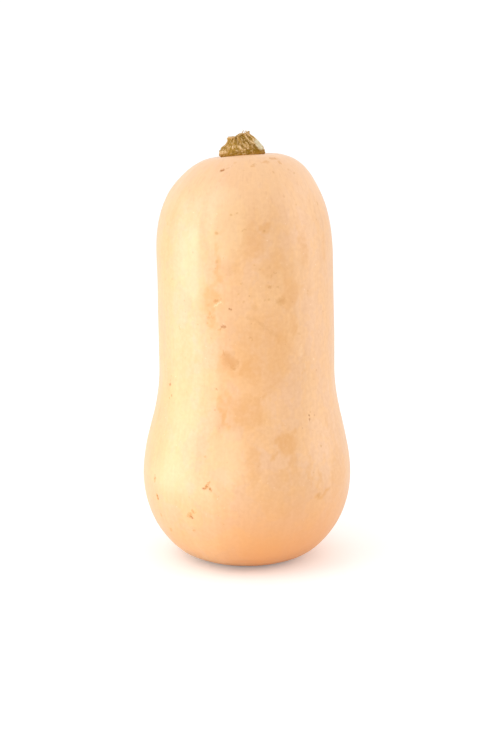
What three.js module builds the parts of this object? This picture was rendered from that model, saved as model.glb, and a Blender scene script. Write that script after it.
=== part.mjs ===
// A butternut squash standing on its blossom end, with the dry stub of its stalk on top.
// Millimetres and degrees, +Z up. The origin is on the floor, under the middle of the bulb.
// The front of the fruit faces -Y. Two pieces: the fruit, grown as one solid, and the stem stub.
import * as THREE from "three";

// Fruit: outline from the floor to the crown.
const REST_INNER = 13; // flat ring that the fruit stands on
const REST_OUTER = 20;
const SCAR_RADIUS = 5; // corky button left by the blossom, inside the ring
const SCAR_HEIGHT = 1.1; // of the button's face above the floor
const DIMPLE_DEPTH = 2.4; // of the hollow round the button
const BULB_RADIUS = 55.5;
const BULB_HEIGHT = 45.5; // of the widest ring
const BULB_HANDLE = 18.5; // how long the flank stays upright above the widest ring
const WAIST_HEIGHT = 103;
const WAIST_HANDLE = 22;
const NECK_RADIUS = 46.3;
const SHOULDER_HEIGHT = 160.5;
const SHOULDER_SQUARENESS = 2.15; // 2 is an ellipse
const CREST_RADIUS = 13; // highest ring, round the stem's hollow
const CREST_HEIGHT = 213.5;
const SEAT_RADIUS = 9.6; // flat floor of that hollow
const SEAT_DEPTH = 1.6;

// Fruit: what keeps it from being a plain turned shape.
const NECK_LEAN = -3.8; // sideways at the crest, growing with the square of the height
const LEAN_START = 80;
const CROWN_SHIFT = 1.4; // back towards the middle over the last of the shoulder
const CROWN_SHIFT_START = 195;
const CROWN_TILT = 4.2; // degrees, higher on the +X side
const OVAL = 0.012; // the bulb is this share slimmer from front to back
const OVAL_TWIST = 0.008;
const NECK_THREE_SIDED = 0.007;
const RIBS = 10;
const RIB_AT_BASE = 0.32; // depth of the faint ribs, fading upwards
const RIB_ON_NECK = 0.1;
const RIB_AT_CROWN = 0.35;

// Stem stub. Heights are above its seat.
const STEM_GAP = 0.3; // between the stub's foot and its seat
const FOOT_RADIUS = 9.2;
const FLANGE_RADIUS = 11.7;
const FLANGE_HEIGHT = 3;
const COLLAR_RADIUS = 5.4; // where the flare ends, under the lip of the cut
const COLLAR_HEIGHT = 11.2;
const LIP_RADIUS = 5.5; // frayed rim of the cut end
const LIP_HEIGHT = 12.5;
const CUT_HOLLOW = 1.2; // depth of the withered pith below the rim
const CUT_SLOPE = 0.22; // rise of the cut towards +X
const RIM_WAVE = 0.35; // how far the ridge ends stand above the rest of the rim
const STEM_LEAN = -1.5; // of the cut end, sideways
const STEM_RIDGES = 5;
const RIDGE_AT_FOOT = 0.03; // share of the radius
const RIDGE_AT_CUT = 0.1;
const RIDGE_TURN_AT_FOOT = -32; // degrees; the ridges spiral a little
const RIDGE_TURN_AT_CUT = -67;
const WARTS = 46;
const WART_HEIGHT = 0.36;
const WART_SIZE = 1.1;
const GOLDEN_TURN = 137.508; // degrees from one wart to the next

// Facets.
const FRUIT_SIDES = 72;
const STEM_SIDES = 80;

const RADIANS = Math.PI / 180;
const UPRIGHT = Math.PI / 2;

const smooth = (low, high, x) => THREE.MathUtils.smoothstep(x, low, high);

// A quarter of a superellipse, from its widest point up to the crest ring.
class ShoulderCurve extends THREE.Curve {
  getPoint(t, target = new THREE.Vector2()) {
    const angle = t * UPRIGHT;
    const across = Math.cos(angle) ** (2 / SHOULDER_SQUARENESS);
    const up = Math.sin(angle) ** (2 / SHOULDER_SQUARENESS);
    return target.set(
      CREST_RADIUS + (NECK_RADIUS - CREST_RADIUS) * across,
      SHOULDER_HEIGHT + (CREST_HEIGHT - SHOULDER_HEIGHT) * up,
    );
  }
}

const at = (radius, height) => new THREE.Vector2(radius, height);

// One outline from curves laid end to end, each cut into its own number of spans.
function outline(stretches) {
  const points = [stretches[0].curve.getPoint(0)];
  for (const { curve, spans } of stretches)
    for (let i = 1; i <= spans; i++) points.push(curve.getPoint(i / spans));
  return points;
}

const line = (from, to, spans) => ({
  curve: new THREE.LineCurve(from, to),
  spans,
});
const bend = (from, knee, to, spans) => ({
  curve: new THREE.QuadraticBezierCurve(from, knee, to),
  spans,
});

function fruitOutline() {
  const scarEdge = at(SCAR_RADIUS, SCAR_HEIGHT);
  const groove = at(SCAR_RADIUS + 1.2, DIMPLE_DEPTH);
  const baseArc = new THREE.EllipseCurve(
    REST_OUTER, BULB_HEIGHT, BULB_RADIUS - REST_OUTER, BULB_HEIGHT, -UPRIGHT, 0,
  );
  const flank = new THREE.CubicBezierCurve(
    at(BULB_RADIUS, BULB_HEIGHT),
    at(BULB_RADIUS, BULB_HEIGHT + BULB_HANDLE),
    at(NECK_RADIUS, WAIST_HEIGHT - WAIST_HANDLE),
    at(NECK_RADIUS, WAIST_HEIGHT),
  );
  const seatEdge = at(SEAT_RADIUS, CREST_HEIGHT - SEAT_DEPTH);
  return outline([
    line(at(0, SCAR_HEIGHT), scarEdge, 2),
    line(scarEdge, groove, 1),
    bend(groove, at(REST_INNER - 3, 0), at(REST_INNER, 0), 3),
    line(at(REST_INNER, 0), at(REST_OUTER, 0), 1),
    { curve: baseArc, spans: 14 },
    { curve: flank, spans: 11 },
    line(at(NECK_RADIUS, WAIST_HEIGHT), at(NECK_RADIUS, SHOULDER_HEIGHT), 7),
    { curve: new ShoulderCurve(), spans: 13 },
    bend(at(CREST_RADIUS, CREST_HEIGHT), at(SEAT_RADIUS + 1, CREST_HEIGHT), seatEdge, 3),
    line(seatEdge, at(0, CREST_HEIGHT - SEAT_DEPTH), 2),
  ]);
}

// Depth of the ten faint ribs: strongest round the blossom end, again round the crown.
function ribDepth(radius, height) {
  const foot = RIB_AT_BASE * (1 - smooth(12, 75, height));
  const crown = RIB_AT_CROWN * smooth(SHOULDER_HEIGHT, CREST_HEIGHT, height);
  return (RIB_ON_NECK + foot + crown) * smooth(REST_OUTER, 2 * REST_OUTER, radius);
}

// Moves a point of the turned fruit to where it grew.
function growFruit(point) {
  const radius = Math.hypot(point.x, point.y);
  const turn = Math.atan2(point.y, point.x);
  const height = point.z;
  const above = smooth(LEAN_START, SHOULDER_HEIGHT, height);
  const oval = -OVAL * Math.sin(turn) ** 2 + OVAL_TWIST * Math.sin(2 * turn);
  const threeSided = NECK_THREE_SIDED * above * Math.sin(3 * turn);
  const grown =
    radius * (1 + oval + threeSided) + ribDepth(radius, height) * Math.cos(RIBS * turn);
  const rise = Math.max(0, (height - LEAN_START) / (CREST_HEIGHT - LEAN_START));
  const sideways =
    NECK_LEAN * rise ** 2 + CROWN_SHIFT * smooth(CROWN_SHIFT_START, CREST_HEIGHT, height);
  const tilt = Math.tan(CROWN_TILT * RADIANS) * smooth(SHOULDER_HEIGHT - 10, CREST_HEIGHT, height);
  const x = grown * Math.cos(turn);
  point.set(x + sideways, grown * Math.sin(turn), height + tilt * x);
}

function stemOutline() {
  const foot = at(FOOT_RADIUS, STEM_GAP);
  const flange = at(FLANGE_RADIUS, FLANGE_HEIGHT);
  const collar = at(COLLAR_RADIUS, COLLAR_HEIGHT);
  const lip = at(LIP_RADIUS, LIP_HEIGHT - 0.3);
  const rim = at(LIP_RADIUS - 0.7, LIP_HEIGHT);
  const pith = at(LIP_RADIUS - 2.1, LIP_HEIGHT - CUT_HOLLOW);
  const flank = new THREE.CubicBezierCurve(
    flange,
    at(FLANGE_RADIUS, FLANGE_HEIGHT + 3.2),
    at(COLLAR_RADIUS + 1.9, COLLAR_HEIGHT - 2.8),
    collar,
  );
  return outline([
    line(at(0, STEM_GAP), foot, 3),
    bend(foot, at(FLANGE_RADIUS, 1.8), flange, 4),
    { curve: flank, spans: 10 },
    bend(collar, at(COLLAR_RADIUS - 0.1, LIP_HEIGHT - 0.6), lip, 2),
    line(lip, rim, 1),
    line(rim, pith, 2),
    line(pith, at(0, LIP_HEIGHT - CUT_HOLLOW), 2),
  ]);
}

// Corky warts, spread round the flare by the golden angle.
const warts = Array.from({ length: WARTS }, (_, k) => ({
  turn: k * GOLDEN_TURN * RADIANS,
  height: FLANGE_HEIGHT - 0.6 + 7.6 * ((k + 0.5) / WARTS),
  size: WART_SIZE * (0.7 + 0.6 * ((k * 0.618034) % 1)),
}));

function wartRelief(radius, turn, height) {
  let relief = 0;
  for (const wart of warts) {
    const around = radius * Math.atan2(Math.sin(turn - wart.turn), Math.cos(turn - wart.turn));
    const near = (around ** 2 + (height - wart.height) ** 2) / wart.size ** 2;
    relief = Math.max(relief, WART_HEIGHT * Math.exp(-2 * near));
  }
  return relief;
}

// +1 along each of the five ridges, -1 in the grooves between them.
function ridgeWave(turn, share) {
  const phase = THREE.MathUtils.lerp(RIDGE_TURN_AT_FOOT, RIDGE_TURN_AT_CUT, share) * RADIANS;
  return 2 * Math.abs(Math.cos((STEM_RIDGES / 2) * (turn - phase))) - 1;
}

// Moves a point of the turned stub to where it grew: ridges, warts, a lean and a slanting cut.
function growStem(point) {
  const radius = Math.hypot(point.x, point.y);
  const turn = Math.atan2(point.y, point.x);
  const height = point.z;
  const share = smooth(FLANGE_HEIGHT, COLLAR_HEIGHT, height);
  const wave = ridgeWave(turn, share);
  const ridge = THREE.MathUtils.lerp(RIDGE_AT_FOOT, RIDGE_AT_CUT, share);
  const side = smooth(1.3, FLANGE_HEIGHT, height) * smooth(LIP_RADIUS - 3, COLLAR_RADIUS, radius);
  const grown = radius * (1 + ridge * wave * side) + wartRelief(radius, turn, height) * side;
  const x = grown * Math.cos(turn);
  const towardsCut = THREE.MathUtils.clamp((height - 5) / (COLLAR_HEIGHT - 5), 0, 1);
  const rimWave = RIM_WAVE * wave * side * smooth(COLLAR_HEIGHT - 1, LIP_HEIGHT, height);
  point.set(
    x + STEM_LEAN * towardsCut,
    grown * Math.sin(turn),
    height + CUT_SLOPE * x * towardsCut + rimWave,
  );
}

// Turns an outline about +Z, then moves each of its points with a growth function.
function grownSolid(points, sides, grow) {
  const geometry = new THREE.LatheGeometry(points, sides);
  geometry.rotateX(UPRIGHT);
  const position = geometry.getAttribute("position");
  const point = new THREE.Vector3();
  for (let i = 0; i < position.count; i++) {
    grow(point.fromBufferAttribute(position, i));
    position.setXYZ(i, point.x, point.y, point.z);
  }
  geometry.deleteAttribute("normal");
  geometry.computeVertexNormals();
  return geometry;
}

function squashFruit() {
  const rind = new THREE.MeshStandardMaterial({ color: 0xf0bc88, roughness: 0.45, metalness: 0 });
  const fruit = new THREE.Mesh(grownSolid(fruitOutline(), FRUIT_SIDES, growFruit), rind);
  fruit.name = "squash_fruit";
  return fruit;
}

function stemStub() {
  const cork = new THREE.MeshStandardMaterial({ color: 0xa8843c, roughness: 0.85, metalness: 0 });
  const stem = new THREE.Mesh(grownSolid(stemOutline(), STEM_SIDES, growStem), cork);
  stem.name = "stem_stub";
  return stem;
}

// The stub stands square on its seat, which leans with the crown.
function crown() {
  const seat = new THREE.Group();
  seat.position.set(NECK_LEAN + CROWN_SHIFT, 0, CREST_HEIGHT - SEAT_DEPTH);
  seat.rotation.y = -CROWN_TILT * RADIANS;
  seat.add(stemStub());
  return seat;
}

const squash = new THREE.Group();
squash.add(squashFruit(), crown());

export default squash;
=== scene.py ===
"""A butternut squash standing on its blossom end, with the dry stub of its stalk on the crown.

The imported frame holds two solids, squash_fruit and stem_stub. Each is replaced by a finer surface
of the same form: a turned outline that is then grown out of true, with the ribs, dents, scabs and
corky warts of the real skin. Lengths are in metres and angles in degrees. The front faces -Y.
"""

import logging
import math
from dataclasses import dataclass, field
from enum import Enum

import bpy
import numpy as np
from mathutils import Matrix, Vector


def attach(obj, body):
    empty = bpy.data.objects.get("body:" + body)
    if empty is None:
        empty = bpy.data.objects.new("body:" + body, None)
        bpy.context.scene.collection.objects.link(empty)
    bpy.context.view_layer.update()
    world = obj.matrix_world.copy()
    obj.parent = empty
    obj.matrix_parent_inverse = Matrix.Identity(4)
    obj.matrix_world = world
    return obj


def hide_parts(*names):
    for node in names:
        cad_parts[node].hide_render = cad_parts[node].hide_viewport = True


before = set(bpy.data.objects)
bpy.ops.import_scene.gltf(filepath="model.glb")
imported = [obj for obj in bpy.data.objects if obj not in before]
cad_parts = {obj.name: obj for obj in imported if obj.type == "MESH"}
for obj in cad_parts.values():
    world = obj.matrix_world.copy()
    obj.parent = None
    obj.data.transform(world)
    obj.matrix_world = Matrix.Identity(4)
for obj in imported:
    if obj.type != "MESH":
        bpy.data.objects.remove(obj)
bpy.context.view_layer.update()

LOG = logging.getLogger("squash")
MM = 0.001
Colour = tuple[int, int, int]
Socket = bpy.types.NodeSocket


# Arrays and outlines


def smooth(low: float, high: float, value: np.ndarray) -> np.ndarray:
    """Rise from 0 at low to 1 at high along the smoothstep cubic.

    Args:
        low: value where the rise starts.
        high: value where it ends.
        value: the numbers to map.

    Returns:
        The mapped numbers, from 0 to 1.
    """
    share = np.clip((value - low) / (high - low), 0.0, 1.0)
    return share * share * (3.0 - 2.0 * share)


def bell(away: np.ndarray, spread: float) -> np.ndarray:
    """Gaussian of a distance: 1 at zero, with the spread as its standard deviation."""
    return np.exp(-0.5 * (away / spread) ** 2)


def facing(around: float) -> float:
    """Radians anticlockwise from +X, of degrees round from the front towards +X."""
    return math.radians(around - 90.0)


def apart(turn: np.ndarray, centre: float) -> np.ndarray:
    """Radians from a centre to each turn, the short way round."""
    return np.arctan2(np.sin(turn - centre), np.cos(turn - centre))


def turns_round(sides: int) -> np.ndarray:
    """Equal turns round a full circle, in radians, without the one that closes it."""
    return np.linspace(0.0, 2 * math.pi, sides, endpoint=False)


def line(start: tuple, end: tuple, spans: int) -> np.ndarray:
    """Straight stretch of an outline.

    Args:
        start: radius and height where it starts.
        end: radius and height where it ends.
        spans: number of equal spans.

    Returns:
        Points as rows of radius and height.
    """
    return np.linspace(start, end, spans + 1)


def bezier(knots: tuple, spans: int) -> np.ndarray:
    """Bezier stretch of an outline: the knots blended with the Bernstein weights of their order.

    Args:
        knots: start, one or two handles, end, each as radius and height.
        spans: number of spans, equal in the curve's own parameter.

    Returns:
        Points as rows of radius and height.
    """
    t = np.linspace(0.0, 1.0, spans + 1)[:, None]
    order = len(knots) - 1
    weights = [math.comb(order, k) * t**k * (1.0 - t) ** (order - k) for k in range(order + 1)]
    return sum(weight * np.asarray(knot) for weight, knot in zip(weights, knots))


def join(*stretches: np.ndarray) -> np.ndarray:
    """Lay stretches end to end, each without the point that it shares with the one before."""
    return np.concatenate([stretches[0]] + [stretch[1:] for stretch in stretches[1:]])


def arc_length(outline: np.ndarray) -> np.ndarray:
    """Distance along an outline from its first point, one number for each point."""
    steps = np.hypot(*np.diff(outline, axis=0).T)
    return np.concatenate([[0.0], np.cumsum(steps)])


class LatticeNoise:
    """Smooth noise: random values on a cubic lattice, blended with smoothstep weights."""

    def __init__(self, seed: int, cells: int = 48) -> None:
        """Draw the lattice.

        Args:
            seed: seed of the random draw.
            cells: lattice points along each side, after which the noise repeats.
        """
        self.cells = cells
        self.lattice = np.random.default_rng(seed).uniform(-1.0, 1.0, (cells, cells, cells))

    def at(self, points: np.ndarray, pitch: float) -> np.ndarray:
        """Read the noise.

        Args:
            points: positions, with x, y and z along the last axis.
            pitch: distance between lattice points.

        Returns:
            One number from -1 to 1 for each position.
        """
        scaled = points / pitch + self.cells / 3.0
        corner = np.floor(scaled).astype(int)
        part = scaled - corner
        part = part * part * (3.0 - 2.0 * part)
        total = np.zeros(points.shape[:-1])
        for step in np.ndindex(2, 2, 2):
            index = (corner + step) % self.cells
            weight = np.prod(np.where(step, part, 1.0 - part), axis=-1)
            total += weight * self.lattice[index[..., 0], index[..., 1], index[..., 2]]
        return total

    def fractal(self, points: np.ndarray, pitch: float, octaves: int) -> np.ndarray:
        """Sum octaves of the noise, each at half the pitch and half the height of the last."""
        return sum(self.at(points + 7.3 * k * pitch, pitch / 2**k) / 2**k for k in range(octaves))


def surface_normals(grid: np.ndarray) -> np.ndarray:
    """Outward unit normals of a closed grid of rows (upwards) by turns (anticlockwise).

    Each is the cross product of the step round the row and the step up the rows.

    Args:
        grid: positions, rows by turns by x, y and z.

    Returns:
        Unit vectors of the same shape.
    """
    around = np.roll(grid, -1, axis=1) - np.roll(grid, 1, axis=1)
    upward = np.gradient(grid, axis=0)
    normal = np.cross(around, upward)
    normal[0] = (0.0, 0.0, -1.0)
    normal[-1] = (0.0, 0.0, 1.0)
    return normal / np.maximum(np.linalg.norm(normal, axis=-1, keepdims=True), 1e-12)


def added(name: str, data: bpy.types.ID) -> bpy.types.Object:
    """Make an object and link it to the scene.

    Args:
        name: name of the object.
        data: its mesh, lamp or camera.

    Returns:
        The object, at the origin.
    """
    item = bpy.data.objects.new(name, data)
    bpy.context.collection.objects.link(item)
    return item


def closed_piece(name: str, grid: np.ndarray, data: dict[str, np.ndarray]) -> bpy.types.Object:
    """Make a closed, smooth-shaded mesh from a grid whose first and last rows are its poles.

    Args:
        name: name of the object and its mesh.
        grid: positions, rows by turns by x, y and z.
        data: point attributes by name, each rows by turns, or rows by turns by 3.

    Returns:
        The new object, linked to the scene, at the origin.
    """
    rows, sides = grid.shape[:2]

    def unwrap(values: np.ndarray) -> np.ndarray:
        """One value for each pole, and every value between."""
        flat = values[1:-1].reshape(-1, *values.shape[2:])
        return np.concatenate([values[:1, 0], flat, values[-1:, 0]])

    ring = 1 + np.arange((rows - 2) * sides).reshape(rows - 2, sides)
    ahead = np.roll(ring, -1, axis=1)
    quads = np.stack([ring[:-1], ahead[:-1], ahead[1:], ring[1:]], axis=-1).reshape(-1, 4)
    top = (rows - 2) * sides + 1
    below = np.stack([np.zeros(sides, int), ahead[0], ring[0]], axis=-1)
    above = np.stack([np.full(sides, top), ring[-1], ahead[-1]], axis=-1)
    mesh = bpy.data.meshes.new(name)
    mesh.from_pydata(unwrap(grid).tolist(), [], below.tolist() + quads.tolist() + above.tolist())
    mesh.polygons.foreach_set("use_smooth", np.ones(len(mesh.polygons), bool))
    for key, values in data.items():
        vector = values.ndim == 3
        layer = mesh.attributes.new(key, "FLOAT_VECTOR" if vector else "FLOAT", "POINT")
        layer.data.foreach_set("vector" if vector else "value", unwrap(values).ravel())
    mesh.update()
    return added(name, mesh)


# Shader nodes


def linear(colour: Colour) -> tuple[float, float, float, float]:
    """Turn a display colour into a linear one with full alpha.

    Args:
        colour: red, green and blue, 0 to 255.

    Returns:
        Red, green, blue and alpha, 0 to 1.
    """
    parts = [level / 255.0 for level in colour]
    curve = [p / 12.92 if p <= 0.04045 else ((p + 0.055) / 1.055) ** 2.4 for p in parts]
    return (*curve, 1.0)


class Wiring:
    """Adds nodes to one node tree and joins their sockets."""

    def __init__(self, tree: bpy.types.NodeTree) -> None:
        """Keep the tree that the nodes go into."""
        self.tree = tree

    def node(self, kind: str, inputs: dict | None = None, **settings: object) -> bpy.types.Node:
        """Add a node.

        Args:
            kind: node type, without its ShaderNode prefix.
            inputs: socket name or number to a value, or to the output socket that feeds it.
            **settings: node properties.

        Returns:
            The node.
        """
        node = self.tree.nodes.new("ShaderNode" + kind)
        for key, value in settings.items():
            setattr(node, key, value)
        for key, value in (inputs or {}).items():
            self.feed(node.inputs[key], value)
        return node

    def feed(self, socket: Socket, value: object) -> None:
        """Join an output socket to an input, or set the input's own value.

        Args:
            socket: the input.
            value: the output socket, or the value.
        """
        if isinstance(value, bpy.types.NodeSocket):
            self.tree.links.new(value, socket)
        else:
            socket.default_value = value

    def math(self, operation: str, first: object, second: object, clamp: bool = False) -> Socket:
        """Add a Math node and return its result."""
        inputs = {0: first, 1: second}
        return self.node("Math", inputs, operation=operation, use_clamp=clamp).outputs[0]

    def vector(self, operation: str, first: object, second: object) -> Socket:
        """Add a Vector Math node and return its vector."""
        return self.node("VectorMath", {0: first, 1: second}, operation=operation).outputs[0]

    def mix(self, share: object, first: object, second: object) -> Socket:
        """Mix two colours and return the result."""
        return self.node("Mix", {0: share, 6: first, 7: second}, data_type="RGBA").outputs[2]

    def rise(self, value: object, low: object, high: object) -> Socket:
        """Smoothstep of a value, from 0 at low to 1 at high."""
        inputs = {"Value": value, "From Min": low, "From Max": high}
        return self.node("MapRange", inputs, interpolation_type="SMOOTHSTEP").outputs["Result"]

    def divided(self, vector: Socket, size: Socket) -> Socket:
        """A vector divided by a size."""
        inputs = {0: vector, "Scale": self.math("DIVIDE", 1.0, size)}
        return self.node("VectorMath", inputs, operation="SCALE").outputs[0]

    def use(self, group: bpy.types.NodeTree, inputs: dict) -> bpy.types.Node:
        """Place a node group.

        Args:
            group: the group.
            inputs: its input names to values or output sockets.

        Returns:
            The node.
        """
        node = self.node("Group")
        node.node_tree = group
        for key, value in inputs.items():
            self.feed(node.inputs[key], value)
        return node


class Effect:
    """A shader node group with named inputs and outputs, made once and used by every finish."""

    def __init__(self, name: str, inputs: dict[str, object], outputs: list[str]) -> None:
        """Make the group and its sockets.

        Args:
            name: name of the group.
            inputs: input names to default values, a float or a vector of three.
            outputs: names of the float outputs.
        """
        self.tree = bpy.data.node_groups.new(name, "ShaderNodeTree")
        for key, value in inputs.items():
            kind = "NodeSocketVector" if isinstance(value, tuple) else "NodeSocketFloat"
            socket = self.tree.interface.new_socket(key, in_out="INPUT", socket_type=kind)
            socket.default_value = value
        for key in outputs:
            self.tree.interface.new_socket(key, in_out="OUTPUT", socket_type="NodeSocketFloat")
        self.wiring = Wiring(self.tree)
        self.given = self.tree.nodes.new("NodeGroupInput").outputs
        self.result = self.tree.nodes.new("NodeGroupOutput").inputs


def mottle_effect() -> bpy.types.NodeTree:
    """Cloudy tone: fractal noise of a given feature size, with its contrast stretched about 0.5.

    Returns:
        The node group.
    """
    effect = Effect("mottle", {"Vector": (0.0, 0.0, 0.0), "Size": 0.01, "Contrast": 1.5}, ["Tone"])
    w = effect.wiring
    place = w.divided(effect.given["Vector"], effect.given["Size"])
    noise = w.node("TexNoise", {"Vector": place, "Scale": 1.0, "Detail": 3.0})
    centred = w.math("SUBTRACT", noise.outputs[0], 0.5)
    stretched = w.math("MULTIPLY", centred, effect.given["Contrast"])
    w.feed(effect.result["Tone"], w.math("ADD", stretched, 0.5, clamp=True))
    return effect.tree


def freckle_effect() -> bpy.types.NodeTree:
    """Scattered dots: near a Voronoi cell's point, in the cells whose random number is low.

    Returns:
        The node group.
    """
    inputs = {"Vector": (0.0, 0.0, 0.0), "Spacing": 0.01, "Radius": 0.1, "Share": 0.5}
    effect = Effect("freckles", inputs, ["Mask"])
    w = effect.wiring
    place = w.divided(effect.given["Vector"], effect.given["Spacing"])
    cells = w.node("TexVoronoi", {"Vector": place, "Scale": 1.0})
    draw = w.node("SeparateColor", {0: cells.outputs["Color"]}).outputs
    chosen = w.math("LESS_THAN", draw[0], effect.given["Share"])
    reach = w.math("MULTIPLY", effect.given["Radius"], w.math("ADD", draw[1], 0.35))
    near = w.rise(w.math("DIVIDE", cells.outputs["Distance"], reach), 1.0, 0.45)
    w.feed(effect.result["Mask"], w.math("MULTIPLY", near, chosen))
    return effect.tree


def blemish_effect() -> bpy.types.NodeTree:
    """One placed mark, an ellipse by its foci.

    The distances to the two foci are added up. The mask is 0 where they make Reach, rises to
    Strength where they make Reach less Fade, and is negative outside. No node in it clamps, since
    a clamp on each of many marks is more than one shader can hold.

    Returns:
        The node group.
    """
    inputs = {
        "Vector": (0.0, 0.0, 0.0),
        "First": (0.0, 0.0, 0.0),
        "Second": (0.0, 0.0, 0.0),
        "Reach": 0.002,
        "Fade": 0.001,
        "Strength": 1.0,
    }
    effect = Effect("blemish", inputs, ["Mask"])
    w = effect.wiring
    given = effect.given
    away = [
        w.node("VectorMath", {0: given["Vector"], 1: given[focus]}, operation="DISTANCE")
        for focus in ("First", "Second")
    ]
    total = w.math("ADD", away[0].outputs["Value"], away[1].outputs["Value"])
    inside = w.math("SUBTRACT", given["Reach"], total)
    mask = w.math("MINIMUM", w.math("DIVIDE", inside, given["Fade"]), 1.0)
    w.feed(effect.result["Mask"], w.math("MULTIPLY", mask, given["Strength"]))
    return effect.tree


@dataclass
class Effects:
    """The shared node groups."""

    mottle: bpy.types.NodeTree = field(default_factory=mottle_effect)
    freckles: bpy.types.NodeTree = field(default_factory=freckle_effect)
    blemish: bpy.types.NodeTree = field(default_factory=blemish_effect)


class Dressing(Wiring):
    """Wiring of one finish, with its material, its shader and the piece's own coordinates."""

    def __init__(self, name: str, effects: Effects) -> None:
        """Make the material.

        Args:
            name: name of the material.
            effects: the shared node groups.
        """
        self.material = bpy.data.materials.new(name)
        self.material.use_nodes = True
        super().__init__(self.material.node_tree)
        self.effects = effects
        self.shader = self.tree.nodes["Principled BSDF"]
        self.place = self.node("TexCoord").outputs["Object"]
        self.grain = self.node("Attribute", attribute_name="meridian").outputs["Vector"]

    def trait(self, name: str) -> Socket:
        """A mask that the mesh carries."""
        return self.node("Attribute", attribute_name=name).outputs["Fac"]

    def squashed(self, share: float) -> Socket:
        """The unrolled coordinates, squashed along the meridians, which draws a pattern out."""
        return self.vector("MULTIPLY", self.grain, (1.0, 1.0, share))

    def tone(self, size: float, contrast: float, source: Socket | None = None) -> Socket:
        """Cloudy tone.

        Args:
            size: size of its features, in metres.
            contrast: how far it is stretched about 0.5.
            source: coordinates, or None for the object's own.

        Returns:
            The tone, 0 to 1.
        """
        source = self.place if source is None else source
        inputs = {"Vector": source, "Size": size, "Contrast": contrast}
        return self.use(self.effects.mottle, inputs).outputs["Tone"]

    def dots(self, spacing: float, radius: float, share: float) -> Socket:
        """Scattered dots: their spacing in metres, radius in spacings, and share of the cells."""
        inputs = {"Vector": self.place, "Spacing": spacing, "Radius": radius, "Share": share}
        return self.use(self.effects.freckles, inputs).outputs["Mask"]

    def lay(self, under: Socket, over: Colour, mask: object, strength: float = 1.0) -> Socket:
        """Lay a plain colour over another by a mask times a strength."""
        share = mask if strength == 1.0 else self.math("MULTIPLY", mask, strength)
        return self.mix(share, under, linear(over))

    def scaled(self, value: object, factor: float, start: object) -> Socket:
        """Multiply a value and add to it.

        Args:
            value: the value.
            factor: what it is multiplied by.
            start: what is added.

        Returns:
            The result.
        """
        node = self.math("MULTIPLY_ADD", value, factor).node
        self.feed(node.inputs[2], start)
        return node.outputs[0]

    def emboss(self, height: object) -> None:
        """Feed a relief in metres to the shader's normal."""
        bump = self.node("Bump", {"Height": height, "Distance": 1.0, "Strength": 1.0})
        self.feed(self.shader.inputs["Normal"], bump.outputs[0])


# Marks on the rind


@dataclass(frozen=True)
class MarkStyle:
    """How one kind of mark looks.

    Attributes:
        colour: display colour at full strength.
        edge: share of the radius over which the mark fades.
        wander: how far its outline strays, in metres.
        dent: depth of the hollow at its centre, in metres; negative stands proud.
        gloss_loss: how much it adds to the roughness.
    """

    colour: Colour
    edge: float
    wander: float
    dent: float
    gloss_loss: float


class MarkKind(Enum):
    """The kinds of mark that a picked squash carries, with a broad tan row that is partly painted
    shade and three broad pale rows that are painted highlight.
    """

    NICK = MarkStyle((178, 108, 40), 0.6, 0.5 * MM, 0.35 * MM, 0.25)
    SCAB = MarkStyle((206, 144, 80), 0.8, 0.8 * MM, 0.15 * MM, 0.3)
    DOT = MarkStyle((206, 146, 78), 0.7, 0.3 * MM, 0.1 * MM, 0.15)
    TAN = MarkStyle((222, 162, 98), 0.25, 2.4 * MM, 0.05 * MM, 0.08)
    SCRATCH = MarkStyle((214, 156, 98), 0.6, 0.6 * MM, 0.05 * MM, 0.1)
    PALE_AND_HIGHLIGHT = MarkStyle((252, 222, 176), 0.7, 0.5 * MM, -0.04 * MM, 0.05)


@dataclass(frozen=True)
class Mark:
    """One mark on the rind.

    Attributes:
        kind: what sort of mark it is.
        around: degrees round from the front, towards +X.
        height: height on the untilted fruit, in metres.
        length: its longer measure, in metres.
        width: its shorter measure, in metres.
        tilt: degrees of the longer measure from level, anticlockwise seen from outside.
        strength: 0 to 1.
    """

    kind: MarkKind
    around: float
    height: float
    length: float
    width: float
    tilt: float
    strength: float

    def ellipse(self, spot: Matrix) -> dict[str, object]:
        """Its outline as an ellipse: the two foci, and the sums of distances where it fades.

        Args:
            spot: its frame on the rind.

        Returns:
            Inputs of the blemish effect.
        """
        short, long = sorted((self.length / 2, self.width / 2))
        focus = math.sqrt(long**2 - short**2)
        axis = 0 if self.length >= self.width else 1
        reach = Vector(spot.col[axis][:3]) * focus
        centre = spot.to_translation()
        edge = self.kind.value.edge
        inner = math.hypot(focus, short * (1 - edge))
        outer = math.hypot(focus, short * (1 + edge))
        return {
            "First": tuple(centre - reach),
            "Second": tuple(centre + reach),
            "Reach": 2 * outer,
            "Fade": 2 * (outer - inner),
            "Strength": self.strength,
        }


def mark(kind: MarkKind, around: float, height: float, length: float, width: float,
         tilt: float, strength: float) -> Mark:
    """Make a mark from a height and measures in millimetres."""
    return Mark(kind, around, height * MM, length * MM, width * MM, tilt, strength)


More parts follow.
